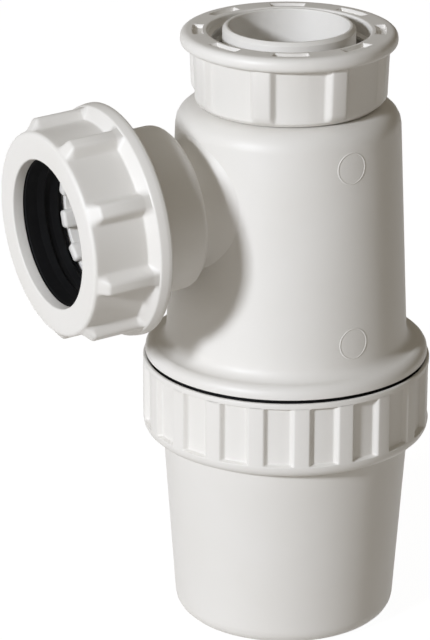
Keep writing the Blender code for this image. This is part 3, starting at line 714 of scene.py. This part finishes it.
class TRAP_PG_finish(bpy.types.PropertyGroup):
    plastic: bpy.props.FloatVectorProperty(
        name="Plastic", description="Colour of the moulded plastic", subtype="COLOR", size=3,
        min=0.0, max=1.0, default=(0.82, 0.80, 0.765))
    plastic_roughness: bpy.props.FloatProperty(
        name="Plastic roughness", description="How dull the plastic's sheen is", subtype="FACTOR",
        min=0.0, max=1.0, default=0.46)
    rubber: bpy.props.FloatVectorProperty(
        name="Rubber", description="Colour of the seals", subtype="COLOR", size=3,
        min=0.0, max=1.0, default=(0.006, 0.006, 0.0065))
    rubber_roughness: bpy.props.FloatProperty(
        name="Rubber roughness", description="How dull the seals are", subtype="FACTOR",
        min=0.0, max=1.0, default=0.62)


class TRAP_PG_bottle(bpy.types.PropertyGroup):
    ribs: bpy.props.IntProperty(
        name="Collar ribs", description="Grip ribs round the bottle's collar", default=20,
        min=6, max=60)
    start: bpy.props.FloatProperty(
        name="First rib", description="Where the first grip rib stands", subtype="ANGLE",
        default=math.radians(-6.0))
    rib_width: bpy.props.FloatProperty(
        name="Rib width", description="Width of a rib's flat top", subtype="DISTANCE",
        unit="LENGTH", default=0.0046)
    rib_side: bpy.props.FloatProperty(
        name="Rib side", description="Run of a rib's sloped side", subtype="DISTANCE",
        unit="LENGTH", default=0.0011)


class TRAP_PG_inlet_nut(bpy.types.PropertyGroup):
    ribs: bpy.props.IntProperty(
        name="Ribs", description="Grip ribs round the inlet nut", default=8, min=4, max=24)
    start: bpy.props.FloatProperty(
        name="First rib", description="Where the first rib stands", subtype="ANGLE",
        default=math.radians(-0.7))
    top: bpy.props.FloatProperty(
        name="Rib top", description="Angle that a rib's top takes up", subtype="ANGLE",
        default=math.radians(9.5))
    foot: bpy.props.FloatProperty(
        name="Rib foot", description="Angle that a rib's foot takes up", subtype="ANGLE",
        default=math.radians(15.6))
    pocket_start: bpy.props.FloatProperty(
        name="First pocket", description="Where the first rim pocket lies", subtype="ANGLE",
        default=math.radians(15.8))
    pocket_arc: bpy.props.FloatProperty(
        name="Pocket arc", description="Angle that a rim pocket takes up", subtype="ANGLE",
        default=math.radians(21.0))


class TRAP_PG_outlet_nut(bpy.types.PropertyGroup):
    ribs: bpy.props.IntProperty(
        name="Ribs", description="Grip ribs round the outlet nut", default=9, min=4, max=24)
    start: bpy.props.FloatProperty(
        name="First rib", description="Where the first rib stands", subtype="ANGLE",
        default=math.radians(27.0))
    top: bpy.props.FloatProperty(
        name="Rib top", description="Angle that a rib's top takes up", subtype="ANGLE",
        default=math.radians(7.0))
    foot: bpy.props.FloatProperty(
        name="Rib foot", description="Angle that a rib's foot takes up", subtype="ANGLE",
        default=math.radians(12.0))


class TRAP_PG_body(bpy.types.PropertyGroup):
    stops: bpy.props.IntProperty(
        name="Pipe stops", description="Ribs in the socket that stop the pipe", default=12,
        min=4, max=24)
    stop_start: bpy.props.FloatProperty(
        name="First stop", description="Where the first pipe stop stands", subtype="ANGLE",
        default=math.radians(13.0))
    witness_radius: bpy.props.FloatProperty(
        name="Mould circle", description="Radius of the mould's witness circles",
        subtype="DISTANCE", unit="LENGTH", default=0.0046)


class TRAP_PG_stage(bpy.types.PropertyGroup):
    key: bpy.props.FloatProperty(
        name="Key light", description="Strength of the main light", subtype="POWER",
        unit="POWER", default=47.0)
    surround: bpy.props.FloatProperty(
        name="Surround", description="Strength of the light from all round", default=0.205, min=0.0)
    slant: bpy.props.FloatProperty(
        name="Slant", description="How much of the light from all round comes from the left",
        subtype="FACTOR", default=0.5, min=0.0, max=1.0)


class TRAP_OT_bottle(bpy.types.Operator):
    """Makes the bottle with its ribbed screw collar"""
    bl_idname = "trap.make_bottle"
    bl_label = "Bottle"

    def execute(self, context):
        sizes = context.scene.trap_bottle
        collar_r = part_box("bottle")[1][0]
        corners = millimetres(
            (0.0, 2.7, 0.0), (30.79, 2.7, 2.9), (37.4, 68.0, 0.4), (38.8, 69.0, 0.3),
            (38.8, 80.4, 0.3), (38.2, 81.2, 0.2), (42.1, 81.2, 0.2), (42.1, 82.9, 0.25),
            (43.15, 82.9, 0.45), (43.15, 81.25, 0.25), (41.65, 80.95, 0.3), (41.65, 63.3, 0.3),
            (43.15, 62.95, 0.2), (43.15, 59.1, 3.6), (37.2, 59.1, 0.7), (33.1, 0.0, 5.4),
            (0.0, 0.0, 0.0))
        section = rounded(corners, closed=False)

        def relief(radius, height):
            """Ribs out to the collar's own radius, between its windows."""
            in_window = WINDOW_FOOT < height < WINDOW_TOP and radius > COLLAR_INNER_R
            return (collar_r - radius if in_window else 0.0), 0.0

        top = sizes.rib_width / collar_r
        foot = top + 2 * sizes.rib_side / collar_r
        turns = ribbed_turns(sizes.ribs, sizes.start, top, foot)
        mesh = turned("bottle", section, turns, closed=False, reliefs={"ribs": relief})
        ribs = relief_step("ribs", sizes.ribs, sizes.start, top, foot)
        shells = [worked("bottle", mesh, [ribs]), thread("bottle")]
        piece("bottle_moulding", shells, plastic(), "bottle", ["bottle"])
        return {"FINISHED"}


class TRAP_OT_body(bpy.types.Operator):
    """Makes the trap body: tapered chamber, flange, threaded skirt, branch and outlet socket"""
    bl_idname = "trap.make_body"
    bl_label = "Trap body"

    def execute(self, context):
        sizes = context.scene.trap_body
        top_r = wall_radius(SHOULDER_HEIGHT) * 1000
        foot_r = wall_radius(FLANGE_TOP) * 1000
        inner_top_r = top_r - WALL * 1000
        corners = millimetres(
            (19.9, 83.0, 0.3), (23.2, 83.0, 0.6), (23.2, 80.7, 0.4), (21.9, 80.7, 0.2),
            (21.9, 77.6, 0.5), (top_r, 77.6, 6.2), (foot_r, 3.8, 3.5), (42.4, 3.8, 2.6),
            (42.4, 0.0, 0.3), (36.8, 0.0, 0.2), (36.8, -14.3, 0.8), (34.2, -14.3, 0.3),
            (34.2, 0.0, 0.0), (33.6, 7.3, 0.0), (inner_top_r, 75.1, 3.7), (19.9, 75.1, 0.3))
        wall = turned("body", rounded(corners), even_turns(BODY_TURNS))
        lift = Matrix.Translation((0.0, 0.0, BODY_FOOT))
        wall.transform(lift)
        section = [(0.0, WATERWAY_START), (WATERWAY_R, WATERWAY_START), (WATERWAY_R, WATERWAY_END),
                   (0.0, WATERWAY_END)]
        bore = turned("waterway", section, even_turns(OUTLET_TURNS), closed=False)
        bore.transform(outlet_place())
        shells = [worked("body", wall, [cut_by(bore)])]
        skirt = thread("skirt")
        skirt.transform(lift)
        branch = [make_branch(), thread("socket")]
        ring = shaped_by(tree_of("Ring of pieces", make_ring_tree), count=sizes.stops,
                         start=sizes.stop_start, material=plastic())
        branch.append(worked("stops", make_stop_rib(), [ring]))
        for shell in branch:
            shell.transform(outlet_place())
        circles = []
        for level in WITNESS_LEVELS:
            circle = make_witness_ring(level, sizes.witness_radius)
            circle.transform(lift)
            circles.append(circle)
        piece("trap_body_moulding", shells + [skirt] + branch + circles, plastic(), "trap",
              ["trap_body"])
        return {"FINISHED"}


class TRAP_OT_dip_tube(bpy.types.Operator):
    """Makes the dip tube with its spigot, flange and by-pass ports"""
    bl_idname = "trap.make_dip_tube"
    bl_label = "Dip tube"

    def execute(self, context):
        rim = TUBE_RIM * 1000
        end = TUBE_END * 1000
        flange = WASHER_FOOT * 1000 - 0.3
        corners = millimetres(
            (18.55, rim, 0.3), (19.55, rim - 1.0, 0.35), (19.55, flange, 0.3), (22.9, flange, 0.3),
            (22.9, flange - 2.2, 0.3), (19.55, flange - 2.2, 0.2), (19.55, end, 0.4),
            (17.65, end, 0.4), (17.65, rim, 0.4))
        tube = turned("tube", rounded(corners), even_turns(TUBE_TURNS))
        cuts = []
        for quarter in (1, 3):
            bm = bmesh.new()
            turn = Matrix.Rotation(quarter * math.pi / 4, 4, "Z")
            place = Matrix.Translation((0.0, 0.0, PORT_LEVEL)) @ turn
            bmesh.ops.create_cube(bm, size=1.0, matrix=place @ Matrix.Diagonal(PORT_BAR))
            cuts.append(cut_by(finished_mesh("port", bm)))
        shells = [worked("tube", tube, cuts)]
        piece("dip_tube_moulding", shells, plastic(), "trap", ["dip_tube"])
        return {"FINISHED"}


class TRAP_OT_inlet_nut(bpy.types.Operator):
    """Makes the inlet nut with its grip ribs, rolled rim and rim pockets"""
    bl_idname = "trap.make_inlet_nut"
    bl_label = "Inlet nut"

    def execute(self, context):
        sizes = context.scene.trap_inlet_nut
        corners = millimetres(
            (23.9, 21.7, 0.6), (25.3, 21.7, 0.0), (25.5, 21.7, 0.0), (28.3, 21.7, 0.0),
            (28.5, 21.7, 0.0), (31.9, 21.7, 2.05), (31.9, 17.5, 1.6), (28.2, 17.3, 1.0),
            (27.6, 3.6, 0.0), (27.6, 2.4, 0.0), (27.6, 1.2, 0.5), (26.4, 0.0, 0.5),
            (22.3, 0.0, 0.3), (22.3, 2.4, 0.2), (24.1, 2.4, 0.2), (24.1, 9.7, 0.2),
            (23.9, 10.2, 0.0))

        def rib_relief(radius, height):
            """Ribs that splay a little towards the rim and die away into the nut's foot."""
            if height > INLET_RIB_HEAD or radius < INLET_WALL_R:
                return 0.0, 0.0
            rise = min(1.0, max(0.0, (height - INLET_RIB_FOOT) / INLET_RIB_RUN))
            stand = INLET_RIB_PROUD * math.sin(rise * math.pi / 2)
            rib_r = INLET_RIB_R + INLET_RIB_SPLAY * height / INLET_RIB_LENGTH
            return max(0.0, min(rib_r - radius, stand)), 0.0

        def pocket_relief(radius, height):
            """Pockets sunk into the flat of the rim."""
            in_pocket = height > POCKET_LEVEL and POCKET_INNER_R < radius < POCKET_OUTER_R
            return 0.0, (-POCKET_DEPTH if in_pocket else 0.0)

        shape = (sizes.ribs, sizes.start, sizes.top, sizes.foot)
        turns = ribbed_turns(*shape)
        turns += pocket_turns(sizes.ribs, sizes.pocket_start, sizes.pocket_arc)
        mesh = turned("inlet_nut", rounded(corners), sorted(turns),
                      reliefs={"ribs": rib_relief, "pockets": pocket_relief})
        steps = [relief_step("ribs", *shape),
                 relief_step("pockets", sizes.ribs, sizes.pocket_start,
                             sizes.pocket_arc - POCKET_EDGE, sizes.pocket_arc + POCKET_EDGE)]
        shells = [worked("inlet_nut", mesh, steps), thread("inlet_nut")]
        lift = Matrix.Translation((0.0, 0.0, INLET_NUT_FOOT))
        piece("inlet_nut_moulding", shells, plastic(), "inlet_nut",
              ["inlet_nut"], lift)
        return {"FINISHED"}


def pocket_turns(count, start, arc):
    """Angles at both ends of each rim pocket, so that its end walls are crisp."""
    return [start + 2 * math.pi * i / count + side * arc / 2 + share * POCKET_EDGE / 2
            for i in range(count) for side in (-1, 1) for share in (-1.3, -0.7, 0.7, 1.3)]


class TRAP_OT_outlet_nut(bpy.types.Operator):
    """Makes the outlet's compression nut with its grip ribs and wide rear rim"""
    bl_idname = "trap.make_outlet_nut"
    bl_label = "Outlet nut"

    def execute(self, context):
        sizes = context.scene.trap_outlet_nut
        corners = millimetres(
            (21.86, 22.9, 0.5), (28.0, 22.9, 0.0), (30.1, 22.9, 1.1), (30.1, 21.0, 0.0),
            (30.1, 20.5, 0.0), (30.1, 20.0, 0.0), (30.1, 19.6, 0.0), (30.1, 19.1, 0.0),
            (30.2, 6.1, 0.8), (33.9, 3.9, 0.9), (34.3, 1.6, 1.3), (34.3, 0.0, 0.8),
            (27.6, 0.0, 0.4), (27.4, 0.8, 0.2), (27.4, 19.4, 0.2), (21.86, 19.4, 0.3))

        def relief(radius, height):
            """Ribs of one height, bevelled to nothing at the nut's front face."""
            if radius < OUTLET_WALL_R:
                return 0.0, 0.0
            above = height - BEVEL_FOOT
            bend = min(1.0, max(0.0, (above + BEVEL_BLEND) / (2 * BEVEL_BLEND)))
            drop = BEVEL_BLEND * bend ** 2 + max(0.0, above - BEVEL_BLEND)
            return max(0.0, OUTLET_RIB_R - BEVEL_SLOPE * drop - radius), 0.0

        shape = (sizes.ribs, sizes.start, sizes.top, sizes.foot)
        turns = ribbed_turns(*shape, OUTLET_RIB_SOFTNESS)
        mesh = turned("outlet_nut", rounded(corners), turns, reliefs={"ribs": relief})
        ribs = relief_step("ribs", *shape, OUTLET_RIB_SOFTNESS)
        shells = [worked("outlet_nut", mesh, [ribs]), thread("outlet_nut")]
        out = Matrix.Translation((0.0, 0.0, OUTLET_REACH - OUTLET_NUT_LENGTH))
        piece("outlet_nut_moulding", shells, plastic(), "outlet_nut",
              ["outlet_nut"], outlet_place() @ out)
        return {"FINISHED"}


class TRAP_OT_seals(bpy.types.Operator):
    """Makes the rubber seals and finishes the parts that stay inside the trap"""
    bl_idname = "trap.make_seals"
    bl_label = "Seals"

    def execute(self, context):
        foot = BOTTLE_SEAL_FOOT * 1000
        section = rounded(millimetres(
            (41.3, foot + 2.0, 0.3), (41.3, foot, 0.3), (37.9, foot, 0.4), (37.9, foot + 2.0, 0.4)))
        ring = turned("bottle_seal", section, even_turns(BODY_TURNS))
        piece("bottle_seal_ring", [ring], rubber(), "bottle_seal", ["bottle_seal"])
        foot = WASHER_FOOT * 1000
        section = rounded(millimetres(
            (23.6, foot + 3.0, 0.4), (23.6, foot, 0.4), (19.75, foot, 0.4),
            (19.75, foot + 3.0, 0.4)))
        washer = turned("inlet_washer", section, even_turns(TUBE_TURNS))
        piece("inlet_washer_ring", [washer], rubber(), "trap", ["inlet_washer"])
        lips = []
        for crest in (-8.4, -4.2):
            lips += [(21.6, crest - 0.7, 0.2), (20.9, crest, 0.15), (21.6, crest + 2.1, 0.3)]
        section = rounded(millimetres(
            (26.0, 1.8, 0.3), (26.0, 0.0, 0.3), (23.1, 0.0, 0.2), (23.1, -10.3, 0.3),
            (21.6, -10.3, 0.3), *lips, (21.6, 1.8, 0.4)))
        seal = turned("outlet_seal", section, even_turns(OUTLET_TURNS))
        out = Matrix.Translation((0.0, 0.0, SOCKET_END + OUTLET_SEAL_LIFT))
        piece("outlet_seal_sleeve", [seal], rubber(), "outlet_seal", ["outlet_seal"],
              outlet_place() @ out)
        for node, material in (("dip_tube_seal", rubber()), ("bypass_sleeve", plastic())):
            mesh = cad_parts[node].data
            mesh.materials.clear()
            mesh.materials.append(material)
        return {"FINISHED"}


class TRAP_OT_stage(bpy.types.Operator):
    """Sets the pale floor, the soft lights and the camera"""
    bl_idname = "trap.make_stage"
    bl_label = "Floor, lights and camera"

    def execute(self, context):
        sizes = context.scene.trap_stage
        self.make_floor()
        self.make_surround(context.scene, sizes)
        self.make_key_light(context.scene, sizes.key)
        self.make_camera(context.scene)
        return {"FINISHED"}

    def make_floor(self):
        """A pale floor that looks white to the camera and keeps the trap's soft shadow."""
        bm = bmesh.new()
        bmesh.ops.create_grid(bm, x_segments=1, y_segments=1, size=FLOOR_HALF)
        floor = bpy.data.objects.new("floor", finished_mesh("floor", bm))
        bpy.context.scene.collection.objects.link(floor)
        material = bpy.data.materials.new("pale_floor")
        material.use_nodes = True
        graph = Graph(material.node_tree)
        material.node_tree.nodes.clear()
        paths = graph.node("ShaderNodeLightPath")
        seen = Wire(graph, paths.outputs["Is Camera Ray"])
        for ray in ("Is Glossy Ray", "Is Transmission Ray"):
            seen = seen.math("MAXIMUM", Wire(graph, paths.outputs[ray]))
        painted = graph.wire("ShaderNodeBsdfDiffuse", None, {"Color": FLOOR_PAINT})
        white = graph.wire("ShaderNodeEmission", None, {"Color": WHITE, "Strength": FLOOR_GLOW})
        mixed = graph.wire("ShaderNodeMixShader", None, {
            0: seen * FLOOR_WHITE_SHARE, 1: painted, 2: white})
        graph.node("ShaderNodeOutputMaterial", None, {"Surface": mixed})
        floor.data.materials.append(material)

    def make_surround(self, scene, sizes):
        """Soft light from all round, brighter to the camera's left. The camera sees plain white."""
        world = bpy.data.worlds.new("surround")
        world.use_nodes = True
        graph = Graph(world.node_tree)
        background = world.node_tree.nodes["Background"]
        across = graph.wire("ShaderNodeTexCoord", None, None, "Generated")
        towards = direction(BRIGHT_SIDE_TURN, BRIGHT_SIDE_CLIMB)
        values = {0: across, 1: towards}
        facing = graph.wire("ShaderNodeVectorMath", {"operation": "DOT_PRODUCT"}, values, "Value")
        seen = Wire(graph, graph.node("ShaderNodeLightPath").outputs["Is Camera Ray"])
        strength = (facing * sizes.slant + 1.0) * sizes.surround
        graph.feed(background.inputs["Strength"], strength * (1.0 - seen) + seen)
        share = (facing + 1.0) * 0.5
        colour = blend_colours(graph, share, DIM_SIDE_COLOUR, BRIGHT_SIDE_COLOUR)
        graph.feed(background.inputs["Color"], blend_colours(graph, seen, colour, WHITE))
        scene.world = world

    def make_key_light(self, scene, power):
        """A square soft light that looks at the trap from the left."""
        light = bpy.data.lights.new("key_light", "AREA")
        light.shape = "SQUARE"
        light.size = KEY_SIZE
        light.energy = power
        light.color = KEY_COLOUR
        towards = direction(KEY_TURN, KEY_CLIMB)
        facing = towards.to_track_quat("Z", "Y").to_matrix().to_4x4()
        lamp = bpy.data.objects.new("key_light", light)
        lamp.matrix_world = Matrix.Translation(KEY_AIM + towards * KEY_DISTANCE) @ facing
        scene.collection.objects.link(lamp)

    def make_camera(self, scene):
        """The photograph's camera, fitted to the trap's outline in it."""
        camera = bpy.data.cameras.new("camera")
        camera.sensor_fit = "AUTO"
        camera.sensor_width = SENSOR
        camera.lens = SENSOR * VIEW_FOCAL_PIXELS / VIEW_PIXELS
        camera.clip_start = 0.05
        camera.clip_end = 20.0
        target = Vector((VIEW_SIDE * math.cos(VIEW_TURN), VIEW_SIDE * math.sin(VIEW_TURN),
                         VIEW_LEVEL))
        place = Matrix.Translation(target + direction(VIEW_TURN, VIEW_CLIMB) * VIEW_DISTANCE)
        turn = Matrix.Rotation(VIEW_TURN, 4, "Z")
        tilt = Matrix.Rotation(math.pi / 2 - VIEW_CLIMB, 4, "X")
        roll = Matrix.Rotation(VIEW_ROLL, 4, "Z")
        view = bpy.data.objects.new("camera", camera)
        view.matrix_world = place @ turn @ tilt @ roll
        scene.collection.objects.link(view)
        scene.camera = view
        scene.view_settings.view_transform = "Standard"


STEPS = (TRAP_OT_bottle, TRAP_OT_body, TRAP_OT_dip_tube, TRAP_OT_inlet_nut, TRAP_OT_outlet_nut,
         TRAP_OT_seals, TRAP_OT_stage)

GROUPS = {"trap_finish": TRAP_PG_finish, "trap_bottle": TRAP_PG_bottle, "trap_body": TRAP_PG_body,
          "trap_inlet_nut": TRAP_PG_inlet_nut, "trap_outlet_nut": TRAP_PG_outlet_nut,
          "trap_stage": TRAP_PG_stage}


class TRAP_PT_panel(bpy.types.Panel):
    """Sizes and pieces of the bottle trap"""
    bl_idname = "TRAP_PT_panel"
    bl_label = "Bottle trap"
    bl_space_type = "VIEW_3D"
    bl_region_type = "UI"
    bl_category = "Bottle trap"

    def draw(self, context):
        for step in STEPS:
            self.layout.operator(step.bl_idname)
        for name, group in GROUPS.items():
            box = self.layout.box()
            for key in group.__annotations__:
                box.prop(getattr(context.scene, name), key)


def register():
    """Adds the add-on's classes and the scene's size groups."""
    for group in GROUPS.values():
        bpy.utils.register_class(group)
    for name, group in GROUPS.items():
        setattr(bpy.types.Scene, name, bpy.props.PointerProperty(type=group))
    for step in STEPS:
        bpy.utils.register_class(step)
    bpy.utils.register_class(TRAP_PT_panel)


def unregister():
    """Takes away what register adds, in the reverse order."""
    bpy.utils.unregister_class(TRAP_PT_panel)
    for step in reversed(STEPS):
        bpy.utils.unregister_class(step)
    for name, group in GROUPS.items():
        delattr(bpy.types.Scene, name)
        bpy.utils.unregister_class(group)


def main():
    """Makes every piece and the stage."""
    register()
    for step in STEPS:
        group, action = step.bl_idname.split(".")
        getattr(getattr(bpy.ops, group), action)()


if __name__ == "__main__":
    main()
